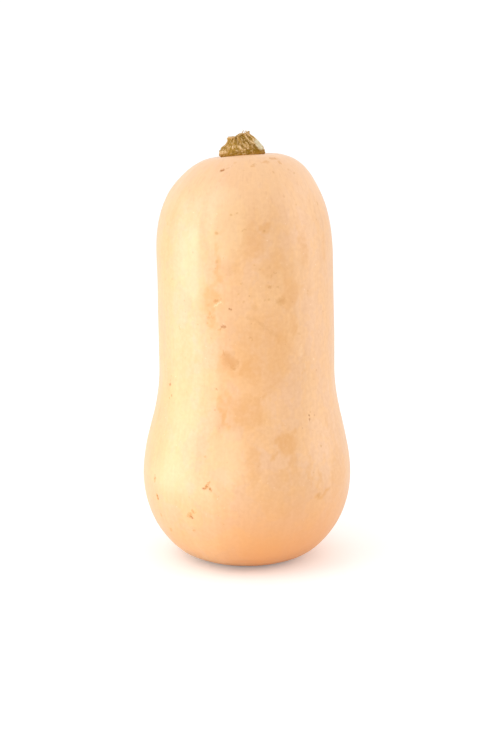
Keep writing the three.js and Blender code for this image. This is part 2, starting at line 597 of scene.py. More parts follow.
# The marks of the front by kind, from the crown down. Each row holds degrees round from the
# front, height, length and width in millimetres, tilt in degrees, and strength.
PLACED_MARKS = {
    MarkKind.TAN: (
        (-8.5, 211.2, 2.6, 1.8, 20, 0.6), (11.5, 210, 3.2, 2.4, 5, 1),
        (26.5, 210, 3.4, 3.6, 20, 0.9), (42, 211.4, 7, 2.6, -8, 1), (44, 209.6, 4, 1.8, 60, 1),
        (16, 179.6, 7.2, 4.4, 75, 0.85), (5, 175, 16, 10, 88, 0.5), (6, 170, 9, 6, 0, 0.45),
        (41.5, 168.5, 14.5, 7, 85, 0.6), (19, 163, 18, 10, 30, 0.4), (28, 160, 10, 7, 60, 0.35),
        (63.5, 167.5, 14, 2.6, 90, 0.5), (-17.5, 166, 15, 2.4, 90, 0.8),
        (-18.5, 157, 10, 3, 90, 0.7), (-15, 179, 4, 2.4, 0, 0.5), (30, 147, 16.5, 9, 86, 0.65),
        (37, 151, 3.4, 2.6, 20, 0.6), (12.5, 150.8, 3.4, 2, 10, 0.7),
        (17.5, 151.2, 2.2, 1.8, 0, 0.6), (-22.5, 148, 10.5, 9.4, 90, 0.9),
        (-23, 138, 13, 6, 90, 0.75), (22.5, 125.4, 7, 4.2, -10, 0.9), (32, 128.5, 9, 4.4, 65, 0.7),
        (2, 131, 4, 9, 0, 0.4), (15, 120.5, 22, 15, 10, 0.4), (1.5, 109.5, 8, 13, 0, 0.92),
        (31, 133, 8, 4, 80, 0.45), (6, 126.5, 11, 6.5, 75, 0.5), (5.5, 111.5, 19, 8.5, 86, 0.75),
        # The broad row at 11/118 is partly painted shade: a tan tone that also darkens the
        # least-lit upright band right of the front.
        (18.5, 115.7, 9.5, 3.4, 88, 0.65), (24, 118, 7, 2.6, 80, 0.4), (11, 118, 46, 28, 88, 0.52),
        (-44, 110, 40, 14, 90, 0.36), (-12, 112.5, 12, 8, -50, 0.6), (39, 107.9, 3, 1.8, 88, 0.9),
        (11.5, 95.4, 3.8, 3.2, 0, 0.75), (7.5, 95.6, 7, 2.4, 85, 0.7), (-3, 92, 15, 12, 0, 0.45),
        (2, 88, 18, 16, 90, 0.68), (-14.5, 95, 12, 3.2, 90, 0.6), (-13.5, 86, 9.5, 3.2, 88, 0.9),
        (56, 80, 6, 2.4, 90, 0.5), (23.5, 72, 15, 11, 0, 0.9), (20, 47, 30, 26, 0, 0.32),
        (60, 54, 26, 14, 90, 0.42), (29.5, 77, 6, 3.2, 70, 0.7), (25, 64, 9, 5, 80, 0.6),
        (15.5, 66.2, 4.2, 2, -40, 0.7), (3, 62, 22, 6, 88, 0.45), (18.5, 55.5, 13, 8, 60, 0.5),
        (26.5, 55, 14, 6, 85, 0.45), (36.5, 57.7, 16, 2.6, 88, 0.5), (43, 51.4, 12, 2.2, 88, 0.5),
        (-17, 46.4, 3, 2.6, 0, 0.4), (45.5, 43.8, 9.5, 2.4, 8, 1),
    ),
    MarkKind.SCRATCH: (
        (-16, 209, 3, 0.9, 15, 0.4), (29.5, 205.7, 1.9, 0.9, -10, 0.5),
        (0.5, 179.7, 3.4, 0.7, 14, 0.9), (16.5, 156.9, 2, 0.7, 50, 0.6),
        (15.5, 161.4, 1.6, 0.6, -60, 0.5), (9, 160.3, 2, 0.7, 35, 0.5),
        (43.5, 147.1, 3.8, 0.6, 86, 0.8), (15.5, 151.5, 2.4, 0.9, 8, 0.9),
        (20.6, 151.5, 1.8, 0.9, 20, 0.9), (19, 158.5, 2, 0.8, -40, 0.9),
        (-16, 145.4, 2.2, 0.7, 25, 0.7), (-47.5, 128.9, 3, 0.7, -65, 0.6),
        (3.7, 135.7, 8, 1.7, -18, 0.35), (10.5, 132.3, 8.4, 1.6, -41, 0.5),
        (16.8, 128.2, 8.4, 1.7, -36, 0.4), (-56, 97.4, 2.6, 0.6, -50, 0.7),
        (2.5, 114.5, 1.6, 0.6, -45, 0.7),
    ),
    MarkKind.PALE_AND_HIGHLIGHT: (
        # The long upright rows at -11/183, -34/163 and -11/66 are painted highlight: soft pale
        # bands where the light falls. The small rows are pale scars.
        (-36, 188.7, 1, 0.8, 0, 0.35), (-11, 183, 40, 15, 90, 0.26), (-34, 163, 36, 12, 90, 0.18),
        (-11, 66, 28, 13, 90, 0.22), (-18, 142.8, 5.8, 0.9, 34, 0.45), (37, 118.5, 1.6, 7, 0, 0.14),
        (40, 110.5, 6, 1, 88, 0.16), (47.5, 112.8, 1.6, 1, 0, 0.3),
    ),
    MarkKind.SCAB: (
        (12.5, 209.9, 1.6, 1.1, 0, 0.5), (41.5, 211.6, 5, 1.2, -6, 0.5),
        (-61, 182.4, 2, 1, 80, 0.45), (42, 170.2, 2.6, 1.8, 0, 0.25), (-8.5, 164, 13, 5, 82, 0.14),
        (-7, 159.5, 2.2, 1.5, 0, 0.3), (22.5, 144.2, 4.6, 3, 10, 0.5),
        (5.5, 141.9, 3.2, 2.6, 0, 0.25), (-18.5, 144.6, 2.6, 1.6, 30, 0.9),
        (-23.5, 142.2, 1.3, 1.1, 0, 0.6), (-24.5, 135.9, 1.6, 1.1, 20, 0.75),
        (-21.5, 136.1, 1.4, 1, 0, 0.6), (-16.5, 130.1, 1.7, 1.1, 20, 0.75),
        (35.5, 127, 1.6, 1.2, 0, 0.35), (3, 125.8, 2.6, 1.3, -50, 0.55),
        (-14, 117.4, 4.4, 1.5, -66, 0.75), (-10.8, 114.6, 9.2, 4.8, -52, 0.58),
        (-10, 112.4, 4.6, 1.6, -58, 0.7), (-8.4, 110.4, 2.4, 1.5, -20, 0.75),
        (-6, 113.2, 3.4, 1.6, 70, 0.5), (-9, 117.6, 4.6, 2.6, 60, 0.2),
        (-60.5, 48.7, 4, 1.4, 86, 1), (-58, 39.6, 3.6, 1.6, -66, 1),
        (-22, 51.2, 2.8, 1.4, 35, 0.95), (-21, 53.1, 2.6, 0.9, 65, 0.9),
        (-20, 50, 2.4, 1, -40, 0.8), (42, 43.9, 2.8, 1.6, 8, 0.4),
        (-30.4, 36.9, 2.2, 1.5, -30, 0.9), (-32.2, 35.2, 2.2, 1.5, 60, 0.9),
        (-33.8, 34, 1.8, 1.3, 20, 0.95), (-51.5, 22.4, 1.5, 1.9, 0, 0.8),
        (-32, 25.9, 1.6, 1.5, 0, 0.8),
    ),
    MarkKind.DOT: (
        (48.5, 206.2, 1.1, 1.2, 0, 0.35), (53, 204.2, 1.1, 0.8, 0, 0.6),
        (1, 207.7, 1, 0.8, 0, 0.25), (67, 188.7, 1, 2.4, 0, 0.5), (41, 189.7, 1.1, 0.8, 0, 0.4),
        (-7.5, 187.2, 1.2, 0.9, 0, 0.5), (-3.5, 188, 1, 0.8, 0, 0.55),
        (13.5, 178.9, 1.1, 0.9, 0, 0.75), (-17, 178.5, 1.7, 1.4, 0, 0.6),
        (-17, 164.3, 1.5, 1.9, 0, 0.6), (-13, 166.2, 0.8, 0.6, 0, 0.5),
        (-2.5, 153.4, 1, 0.7, 0, 0.55), (-4.5, 148, 1.1, 0.8, 0, 0.45),
        (-1.5, 144.2, 1.1, 0.8, 0, 0.4), (22, 144.2, 1.8, 1.2, 0, 0.3),
        (14.7, 145.3, 1.3, 0.9, 20, 0.55), (-1, 144.5, 1, 0.8, 0, 0.5), (-4, 148.2, 1, 0.8, 0, 0.5),
        (-2, 153.6, 0.9, 0.7, 0, 0.45), (6, 162.5, 0.9, 0.6, 0, 0.45),
        (14.5, 153.8, 0.9, 0.7, 0, 0.5), (18.5, 158.6, 0.8, 0.6, 0, 0.45),
        (12, 145.1, 1.5, 1, 40, 0.4), (-23, 138.2, 1, 2.2, 0, 0.6), (-25, 133, 0.9, 0.8, 0, 0.7),
        (-22.5, 125.5, 1, 0.8, 0, 0.5), (-62, 105.9, 0.8, 0.6, 0, 0.6),
        (-65, 104.2, 0.8, 0.6, 0, 0.5), (-57, 102.7, 0.9, 0.6, 0, 0.6),
        (-58.5, 100.4, 0.8, 0.8, 0, 0.6), (-58.5, 91.2, 0.9, 0.7, 0, 0.9),
        (42.3, 86, 0.7, 0.9, 0, 0.5), (47, 68.1, 0.9, 1.1, 0, 0.7), (-24, 65.9, 1.1, 1, 0, 0.6),
        (-26.5, 57.2, 0.8, 0.8, 0, 0.5), (38.5, 56.1, 0.8, 0.8, 0, 0.5),
        (-32.5, 44.2, 0.7, 0.7, 0, 0.5), (-57.5, 29.5, 1.2, 2.2, 0, 0.9),
        (-15.5, 36.4, 0.7, 0.7, 0, 0.4), (-13, 31.6, 0.7, 0.7, 0, 0.4),
    ),
    MarkKind.NICK: (
        (-21, 208.4, 2.2, 1.9, 28, 1), (-9.5, 141, 1.9, 1, -12, 0.75),
        (-14.5, 131.8, 2.4, 1.5, 0, 0.75), (-58.5, 98.4, 1.1, 1.5, 0, 1),
        (-56, 92.8, 0.9, 0.9, 0, 0.8), (-19.5, 99.7, 0.8, 0.8, 0, 0.55),
        (41, 84.4, 0.8, 1.3, 0, 0.8), (41, 82.4, 0.8, 1.2, 0, 0.7), (-57.6, 38.8, 2.8, 1.3, -66, 1),
        (-60.5, 48.9, 3, 1, 86, 0.75), (-23.5, 50.3, 1.5, 1.1, 0, 0.8),
        (-21.5, 51.8, 1.5, 0.9, 40, 0.7), (-20, 50.1, 1.2, 0.8, -40, 0.5),
        (-32, 33.5, 2, 1.1, -20, 0.85),
    ),
}


def placed_marks() -> tuple[Mark, ...]:
    """The marks of the front, one kind after another."""
    return tuple(mark(kind, *row) for kind, rows in PLACED_MARKS.items() for row in rows)


def scattered_marks(seed: int, count: int) -> tuple[Mark, ...]:
    """Draw marks for the sides and back, thinner on the neck than on the bulb.

    Args:
        seed: seed of the draw.
        count: how many marks.

    Returns:
        The marks, none of them within 75 degrees of the front.
    """
    draw = np.random.default_rng(seed)
    sizes = {
        MarkKind.DOT: (1.0, 0.8),
        MarkKind.SCAB: (2.4, 1.3),
        MarkKind.TAN: (9.0, 4.5),
        MarkKind.SCRATCH: (4.5, 0.7),
        MarkKind.NICK: (1.8, 1.0),
    }
    kinds = list(sizes)
    marks = []
    for number in draw.choice(len(kinds), count, p=[0.3, 0.17, 0.25, 0.2, 0.08]):
        kind = kinds[number]
        length, width = (size * draw.uniform(0.7, 1.5) for size in sizes[kind])
        around = draw.uniform(80.0, 280.0)
        height = draw.uniform(22.0, 205.0)
        tilt = draw.normal(80.0, 40.0)
        strength = draw.uniform(0.45, 0.9)
        marks.append(mark(kind, around, height, length, width, tilt, strength))
    return tuple(marks)


# Finishes


@dataclass(frozen=True)
class RindFinish:
    """The waxy tan rind: streaks down the fruit, clouds, weathered patches, freckles and marks."""

    pale: Colour = (241, 198, 152)
    tan: Colour = (226, 173, 112)
    pink: Colour = (235, 185, 144)
    mauve: Colour = (216, 168, 128)
    straw: Colour = (238, 184, 118)
    crown: Colour = (248, 202, 158)
    base: Colour = (236, 160, 88)
    freckle: Colour = (200, 132, 84)
    lenticel: Colour = (250, 216, 178)
    scar: Colour = (134, 94, 56)
    scar_flake: Colour = (196, 158, 112)
    roughness: float = 0.42
    specular: float = 0.5
    coat_roughness: float = 0.3
    coat: float = 0.35
    pore_depth: float = 0.012 * MM
    ageing_start: float = 172 * MM
    crown_start: float = 180 * MM
    crown_full: float = 206 * MM
    base_start: float = 56 * MM
    base_full: float = 8 * MM
    # Painted light: across x, the base's orange tint is weakest at the first, on the lit left, and
    # full from the second.
    painted_light_full_x: float = -28 * MM
    painted_light_none_x: float = 8 * MM
    scar_inner: float = 6.2 * MM
    scar_outer: float = 9.2 * MM
    scar_stray: float = 3.6 * MM
    scar_low: float = 6 * MM
    scar_high: float = 9 * MM

    def material(self, effects: Effects, marks: list[tuple[Mark, Matrix]]) -> bpy.types.Material:
        """Build the material.

        Args:
            effects: the shared node groups.
            marks: each mark with its frame on the rind: along, across, outwards and centre.

        Returns:
            The material.
        """
        w = Dressing("waxy_rind", effects)
        sockets = w.shader.inputs
        colour, height, loss = self.blemishes(w, self.ground(w), marks)
        scar = self.scar_mask(w)
        cork = w.mix(w.tone(1.6 * MM, 2.6), linear(self.scar), linear(self.scar_flake))
        w.feed(sockets["Base Color"], w.mix(scar, colour, cork))
        waxy = w.scaled(w.tone(9 * MM, 1.2), 0.1, self.roughness - 0.05)
        dull = w.math("ADD", loss, w.math("MULTIPLY", scar, 0.4))
        w.feed(sockets["Roughness"], w.math("ADD", waxy, dull, clamp=True))
        worn = w.math("ADD", w.math("MULTIPLY", loss, 2.0), scar)
        sound = w.math("SUBTRACT", 1.0, worn, clamp=True)
        w.feed(sockets["Coat Weight"], w.math("MULTIPLY", sound, self.coat))
        sockets["Coat Roughness"].default_value = self.coat_roughness
        sockets["Specular IOR Level"].default_value = self.specular
        pores = w.math("MULTIPLY", w.tone(1.1 * MM, 1.6), self.pore_depth)
        w.emboss(w.math("ADD", height, pores))
        return w.material

    def ground(self, w: Dressing) -> Socket:
        """Colour of the rind without its marks.

        Args:
            w: wiring of the finish.

        Returns:
            The colour.
        """
        drawn_out = w.squashed(0.07)
        squat = w.squashed(0.7)
        shades = w.tone(38 * MM, 3.0, w.vector("ADD", squat, (0.3, 0.1, 0.2)))
        patches = w.rise(w.tone(12 * MM, 1.0, squat), 0.49, 0.54)
        scraps = w.rise(w.tone(5 * MM, 1.0, squat), 0.51, 0.57)
        flecks = w.tone(2 * MM, 2.8)
        colour = w.mix(w.tone(26 * MM, 2.6, squat), linear(self.pink), linear(self.tan))
        colour = w.lay(colour, self.mauve, shades, 0.75)
        colour = w.lay(colour, self.pale, w.tone(15 * MM, 1.8, drawn_out), 0.4)
        colour = w.lay(colour, self.straw, patches, 0.34)
        colour = w.lay(colour, self.straw, scraps, 0.26)
        colour = w.lay(colour, self.tan, w.tone(4.5 * MM, 2.2, drawn_out), 0.3)
        colour = w.lay(colour, self.pale, w.tone(1.3 * MM, 2.0, drawn_out), 0.2)
        colour = w.lay(colour, self.freckle, flecks, 0.19)
        colour = w.lay(colour, self.freckle, w.dots(5.5 * MM, 0.1, 0.5), 0.5)
        colour = w.lay(colour, self.lenticel, w.dots(3.1 * MM, 0.12, 0.35), 0.4)

        across, _, upright = w.node("SeparateXYZ", {0: w.place}).outputs
        flaking = w.rise(w.tone(1.5 * MM, 1.0, w.squashed(0.3)), 0.55, 0.68)
        aged = w.rise(upright, self.ageing_start, self.crown_full)
        colour = w.lay(colour, self.freckle, w.math("MULTIPLY", flaking, aged), 0.3)
        top = w.rise(upright, self.crown_start, self.crown_full)
        colour = w.lay(colour, self.crown, top, 0.45)
        # Tan patches from the mesh; the broad one in front is partly painted shade.
        stain_and_shade = w.math("MULTIPLY", w.trait("stain_and_shade"), w.scaled(flecks, 0.38, 0.62))
        colour = w.lay(colour, MarkKind.TAN.value.colour, stain_and_shade)
        # Painted light: the orange tint towards the base is kept weak on the left, where the light
        # falls, so the lower left reads paler.
        base_tint_with_painted_light = w.scaled(w.rise(across, self.painted_light_full_x, self.painted_light_none_x), 0.66, 0.14)
        low = w.rise(upright, self.base_start, self.base_full)
        return w.lay(colour, self.base, w.math("MULTIPLY", low, base_tint_with_painted_light))

    def blemishes(
        self, w: Dressing, colour: Socket, marks: list[tuple[Mark, Matrix]],
    ) -> tuple[Socket, Socket, Socket]:
        """Lay the placed marks over the rind, one kind after another.

        Args:
            w: wiring of the finish.
            colour: the rind's own colour.
            marks: each mark with its frame.

        Returns:
            The new colour, the height of the relief in metres, and the loss of gloss.
        """
        height: object = 0.0
        loss: object = 0.0
        crisp = w.node("TexNoise", {"Vector": w.place, "Scale": 900.0, "Detail": 2.0})
        stray = w.vector("SUBTRACT", crisp.outputs["Color"], (0.5, 0.5, 0.5))
        for kind in (MarkKind.SCRATCH, MarkKind.PALE_AND_HIGHLIGHT, MarkKind.SCAB, MarkKind.DOT, MarkKind.NICK):
            style = kind.value
            pull = w.vector("MULTIPLY", stray, (4 * style.wander,) * 3)
            strayed = w.vector("ADD", w.place, pull)
            total: object = 0.0
            for item, spot in marks:
                if item.kind is kind:
                    inputs = {"Vector": strayed, **item.ellipse(spot)}
                    mask = w.use(w.effects.blemish, inputs).outputs["Mask"]
                    total = w.math("MAXIMUM", total, mask)
            colour = w.lay(colour, style.colour, total)
            if kind is MarkKind.NICK:
                height = w.math("MULTIPLY", total, -0.5 * style.dent)
            loss = w.math("ADD", w.math("MULTIPLY", total, style.gloss_loss), loss)
        return colour, height, loss

    def scar_mask(self, w: Dressing) -> Socket:
        """Where the cork of the blossom scar shows: near the axis, close to the floor.

        Args:
            w: wiring of the finish.

        Returns:
            The mask, whose edge strays with a cloudy tone.
        """
        flat = w.vector("MULTIPLY", w.place, (1.0, 1.0, 0.0))
        away = w.node("VectorMath", {0: flat}, operation="LENGTH").outputs["Value"]
        away = w.scaled(w.tone(2.8 * MM, 2.0), self.scar_stray, away)
        upright = w.node("SeparateXYZ", {0: w.place}).outputs["Z"]
        near = w.rise(away, self.scar_outer, self.scar_inner)
        return w.math("MULTIPLY", near, w.rise(upright, self.scar_high, self.scar_low))


@dataclass(frozen=True)
class CorkFinish:
    """The dry stalk: olive-brown cork with dark grooves, partly painted shade, cream warts and a
    peeled pale patch.
    """

    golden: Colour = (178, 134, 46)
    olive: Colour = (138, 102, 12)
    tan: Colour = (198, 152, 88)
    groove: Colour = (128, 92, 12)
    wart: Colour = (232, 194, 144)
    peeled: Colour = (222, 211, 180)
    foot: Colour = (160, 116, 36)
    pith: Colour = (196, 164, 108)
    roughness: float = 0.82
    specular: float = 0.12
    fibre_depth: float = 0.1 * MM
    crumb_depth: float = 0.09 * MM

    def material(self, effects: Effects) -> bpy.types.Material:
        """Build the material from the stub's own attributes and the shared effects.

        Args:
            effects: the shared node groups.

        Returns:
            The material.
        """
        w = Dressing("cork", effects)
        sockets = w.shader.inputs
        fibres = w.tone(0.7 * MM, 2.6, w.squashed(0.22))
        crumbs = w.tone(0.55 * MM, 2.8)
        specks = w.tone(0.75 * MM, 2.8, w.vector("ADD", w.place, (0.2, 0.1, 0.3)))
        bleached = w.rise(w.tone(2.6 * MM, 2.4), 0.35, 0.95)
        colour = w.mix(fibres, linear(self.olive), linear(self.golden))
        colour = w.lay(colour, self.tan, bleached, 0.7)
        # The groove mask darkens the grooves and the sunk dark strips: partly dark cork, partly
        # painted shade.
        colour = w.lay(colour, self.groove, w.trait("groove"), 0.95)
        colour = w.lay(colour, self.foot, w.trait("foot"), 0.6)
        colour = w.lay(colour, self.groove, w.rise(specks, 0.5, 1.0), 0.6)
        colour = w.lay(colour, self.wart, w.rise(crumbs, 0.6, 1.0), 0.5)
        wart = w.math("MULTIPLY", w.trait("wart"), w.rise(crumbs, 0.0, 0.7), clamp=True)
        colour = w.lay(colour, self.wart, wart)
        worn = w.math("SUBTRACT", 1.0, w.math("MULTIPLY", bleached, 0.3))
        colour = w.lay(colour, self.peeled, w.math("MULTIPLY", w.trait("peeled"), worn))
        pith = w.mix(w.math("MULTIPLY", specks, 0.5), linear(self.pith), linear(self.foot))
        w.feed(sockets["Base Color"], w.mix(w.trait("pith"), colour, pith))
        rough = w.math("MULTIPLY", fibres, 0.12)
        w.feed(sockets["Roughness"], w.math("ADD", rough, self.roughness - 0.06, clamp=True))
        sockets["Specular IOR Level"].default_value = self.specular
        strands = w.math("MULTIPLY", fibres, self.fibre_depth)
        w.emboss(w.math("ADD", strands, w.math("MULTIPLY", crumbs, self.crumb_depth)))
        return w.material


# The fruit


@dataclass
class Fruit:
    """The whole fruit, from the flat ring that it stands on to the seat of its stalk."""

    rest_inner: float = 13 * MM
    rest_outer: float = 20 * MM
    scar_radius: float = 5 * MM
    scar_height: float = 1.1 * MM
    groove_width: float = 1.2 * MM
    dimple_depth: float = 2.4 * MM
    dimple_handle: float = 3 * MM
    bulb_radius: float = 55.5 * MM
    bulb_height: float = 45.5 * MM
    bulb_handle: float = 18.5 * MM
    waist_height: float = 103 * MM
    waist_handle: float = 22 * MM
    neck_radius: float = 46.3 * MM
    shoulder_height: float = 160.5 * MM
    shoulder_squareness: float = 2.15
    crest_radius: float = 13 * MM
    crest_height: float = 213.5 * MM
    seat_radius: float = 9.6 * MM
    seat_handle: float = 1 * MM
    seat_depth: float = 1.6 * MM
    neck_lean: float = -3.8 * MM
    lean_start: float = 80 * MM
    crown_shift: float = 1.4 * MM
    crown_shift_start: float = 195 * MM
    crown_tilt: float = 4.2
    tilt_run_in: float = 10 * MM
    swell_inner: float = 12.8 * MM
    swell_crest: float = 16.5 * MM
    swell_outer: float = 34 * MM
    swell_all_round: float = 0.3 * MM
    swell_in_front: float = 1.1 * MM
    swell_spread: float = 40.0
    swell_run_in: float = 20 * MM
    oval: float = 0.012
    oval_twist: float = 0.008
    neck_three_sided: float = 0.007
    ribs: int = 10
    rib_at_base: float = 0.26 * MM
    base_rib_full: float = 12 * MM
    base_rib_end: float = 75 * MM
    rib_on_neck: float = 0.1 * MM
    rib_at_crown: float = 0.35 * MM
    rib_unevenness: float = 0.75
    rib_strong_side: float = -59.0
    edges: tuple[float, ...] = (-30.0, -18.0, 96.0, 148.0, 207.0, 251.0)
    edge_rise: float = 0.2 * MM
    edge_width: float = 2.7
    edge_pitch: float = 30 * MM
    dent_depth: float = 0.38 * MM
    dent_pitch: float = 38 * MM
    ripple_depth: float = 0.09 * MM
    ripple_pitch: float = 9 * MM
    flute_depth: float = 0.13 * MM
    flute_pitch: float = 8 * MM
    flute_squash: float = 0.12
    bell_least: float = 1.6 * MM
    bell_deep: float = 8 * MM
    stain_pitch: float = 5 * MM
    relief_start: float = 1 * MM
    relief_full: float = 9 * MM
    crest_fade: float = 3 * MM
    crest_bare: float = 0.5 * MM
    sides: int = 384
    marks: tuple[Mark, ...] = placed_marks() + scattered_marks(seed=5, count=40)

    def outline(self) -> np.ndarray:
        """Trace the turned form from the middle of the blossom scar, round the outside to the seat.

        Returns:
            Points as rows of radius and height.
        """
        scar_edge = (self.scar_radius, self.scar_height)
        groove = (self.scar_radius + self.groove_width, self.dimple_depth)
        inner = (self.rest_inner, 0.0)
        outer = (self.rest_outer, 0.0)
        angle = np.linspace(-math.pi / 2, 0.0, 61)
        arc = np.stack([
            self.rest_outer + (self.bulb_radius - self.rest_outer) * np.cos(angle),
            self.bulb_height * (1.0 + np.sin(angle)),
        ], axis=-1)
        flank = (
            (self.bulb_radius, self.bulb_height),
            (self.bulb_radius, self.bulb_height + self.bulb_handle),
            (self.neck_radius, self.waist_height - self.waist_handle),
            (self.neck_radius, self.waist_height),
        )
        neck_top = (self.neck_radius, self.shoulder_height)
        seat = self.crest_height - self.seat_depth
        crest = (self.crest_radius, self.crest_height)
        seat_edge = (self.seat_radius, seat)
        brink = (self.seat_radius + self.seat_handle, self.crest_height)
        return join(
            line((0.0, self.scar_height), scar_edge, 6),
            line(scar_edge, groove, 3),
            bezier((groove, (self.rest_inner - self.dimple_handle, 0.0), inner), 8),
            line(inner, outer, 4),
            arc,
            bezier(flank, 48),
            line(flank[-1], neck_top, 48),
            self.shoulder(60),
            bezier((crest, brink, seat_edge), 10),
            line(seat_edge, (0.0, seat), 6),
        )

    def shoulder(self, spans: int) -> np.ndarray:
        """Quarter of a superellipse, from the top of the straight neck to the crest ring.

        Args:
            spans: number of spans, equal in the angle.

        Returns:
            Points as rows of radius and height.
        """
        angle = np.linspace(0.0, math.pi / 2, spans + 1)
        power = 2.0 / self.shoulder_squareness
        across = np.clip(np.cos(angle), 0.0, 1.0) ** power
        up = np.sin(angle) ** power
        return np.stack([
            self.crest_radius + (self.neck_radius - self.crest_radius) * across,
            self.shoulder_height + (self.crest_height - self.shoulder_height) * up,
        ], axis=-1)

    def grow(self, radius: np.ndarray, turn: np.ndarray, height: np.ndarray) -> np.ndarray:
        """Move points of the turned form to where they grew.

        The radius gains an oval, a three-sided neck and ribs, all cosines of the turn. The ribs
        are strongest on one side, by a cosine too. The neck leans by the square of its height,
        and the crown tilts in proportion to x and swells round the stalk.

        Args:
            radius: radius of the turned form.
            turn: radians round from +X, anticlockwise.
            height: height of the turned form.

        Returns:
            Positions, with x, y and z along the last axis.
        """
        above = smooth(self.lean_start, self.shoulder_height, height)
        oval = -self.oval * np.sin(turn) ** 2 + self.oval_twist * np.sin(2 * turn)
        three_sided = self.neck_three_sided * above * np.sin(3 * turn)
        foot = self.rib_at_base * (1.0 - smooth(self.base_rib_full, self.base_rib_end, height))
        crown = self.rib_at_crown * smooth(self.shoulder_height, self.crest_height, height)
        outside = smooth(self.rest_outer, 2 * self.rest_outer, radius)
        rib = (self.rib_on_neck + foot + crown) * outside
        strong = np.cos(turn - facing(self.rib_strong_side))
        rib = rib * (1.0 - self.rib_unevenness * (1.0 - strong) / 2.0)
        grown = radius * (1.0 + oval + three_sided) + rib * np.cos(self.ribs * turn)
        rise = np.maximum(0.0, (height - self.lean_start) / (self.crest_height - self.lean_start))
        top = smooth(self.crown_shift_start, self.crest_height, height)
        sideways = self.neck_lean * rise**2 + self.crown_shift * top
        tilt = math.tan(math.radians(self.crown_tilt))
        tilt = tilt * smooth(self.shoulder_height - self.tilt_run_in, self.crest_height, height)
        x = grown * np.cos(turn)
        z = height + tilt * x + self.swell(radius, turn, height)
        return np.stack([x + sideways, grown * np.sin(turn), z], axis=-1)

    def swell(self, radius: np.ndarray, turn: np.ndarray, height: np.ndarray) -> np.ndarray:
        """How far the crown swells up round the stalk: a low ring, with a Gaussian hump in front.

        Args:
            radius: radius of the turned form.
            turn: radians round from +X, anticlockwise.
            height: height of the turned form.

        Returns:
            Heights in metres.
        """
        hump = bell(np.degrees(apart(turn, facing(0.0))), self.swell_spread)
        ring = smooth(self.swell_inner, self.swell_crest, radius)
        ring = ring * (1.0 - smooth(self.swell_crest, self.swell_outer, radius))
        ring = ring * smooth(self.shoulder_height, self.crest_height - self.swell_run_in, height)
        return (self.swell_all_round + self.swell_in_front * hump) * ring

    def spot(self, item: Mark) -> Matrix:
        """Frame of a mark on the rind.

        Args:
            item: the mark.

        Returns:
            A matrix whose axes run along the mark, across it and outwards, at its centre.
        """
        outline = self.outline()
        first = int(np.argmax(outline[:, 0] > self.rest_outer))
        last = int(np.argmax(outline[:, 1])) + 1
        outer = outline[first:last]
        step = 0.2 * MM
        step_round = 0.01
        turn = facing(item.around)
        heights = np.array([item.height, item.height, item.height - step, item.height + step])
        turns = np.array([turn, turn + step_round, turn, turn])
        radii = np.interp(heights, outer[:, 1], outer[:, 0])
        points = self.grow(radii, turns, heights)
        around = Vector(points[1] - points[0]).normalized()
        upward = Vector(points[3] - points[2]).normalized()
        outward = around.cross(upward).normalized()
        upward = outward.cross(around)
        tilt = math.radians(item.tilt)
        along = math.cos(tilt) * around + math.sin(tilt) * upward
        across = outward.cross(along)
        spot = Matrix((along, across, outward)).transposed().to_4x4()
        spot.translation = Vector(points[0])
        return spot

    def local(self, item: Mark, points: np.ndarray) -> np.ndarray:
        """Positions in a mark's own frame: along it, across it and outwards."""
        spot = self.spot(item)
        return (points - np.array(spot.translation)) @ np.array(spot.to_3x3())

    def relief(self, grid: np.ndarray, turned: np.ndarray) -> np.ndarray:
        """Fine height of the rind above its main form.

        Broad dents and small ones are fractal noise, flutes are noise drawn out along the
        meridians, faint edges down the fruit are Gaussians of the turn whose height strays with
        noise, and each mark sinks as a Gaussian bell over its own ellipse.

        Args:
            grid: positions of the main form.
            turned: unrolled coordinates of the same points.

        Returns:
            Heights in metres.
        """
        noise = LatticeNoise(seed=41)
        height = self.dent_depth * noise.fractal(grid, self.dent_pitch, 2)
        height += self.ripple_depth * noise.fractal(grid, self.ripple_pitch, 2)
        fluted = turned * (1.0, 1.0, self.flute_squash)
        height += self.flute_depth * noise.fractal(fluted, self.flute_pitch, 2)
        turn = np.arctan2(turned[..., 1], turned[..., 0])
        worn = self.edge_rise * (0.8 + 0.4 * noise.fractal(turned, self.edge_pitch, 2))
        for around in self.edges:
            height += worn * bell(np.degrees(apart(turn, facing(around))), self.edge_width)
        for item in self.marks:
            size = (max(item.length, self.bell_least), max(item.width, self.bell_least))
            reach = np.array([*size, self.bell_deep]) / 2
            hollow = np.exp(-2.0 * np.sum((self.local(item, grid) / reach) ** 2, axis=-1))
            height -= item.kind.value.dent * item.strength * hollow
        return height

    def stain_and_shade(self, grid: np.ndarray) -> np.ndarray:
        """Mask of the tan patches, the broad one in front partly painted shade: ellipses with their
        outlines strayed by noise, the most kept.

        Args:
            grid: positions of the main form.

        Returns:
            Numbers from 0 to 1.
        """
        style = MarkKind.TAN.value
        noise = LatticeNoise(seed=23)
        stray = [noise.fractal(grid + shift, self.stain_pitch, 3) for shift in (0.0, 0.1, 0.2)]
        strayed = grid + style.wander * np.stack(stray, axis=-1)
        mask = np.zeros(grid.shape[:-1])
        for item in self.marks:
            if item.kind is MarkKind.TAN:
                reach = np.array([item.length, item.width, max(item.length, item.width)]) / 2
                away = np.linalg.norm(self.local(item, strayed) / reach, axis=-1)
                edge = 1.0 - smooth(1.0 - style.edge, 1.0 + style.edge, away)
                mask = np.maximum(mask, item.strength * edge)
        return mask

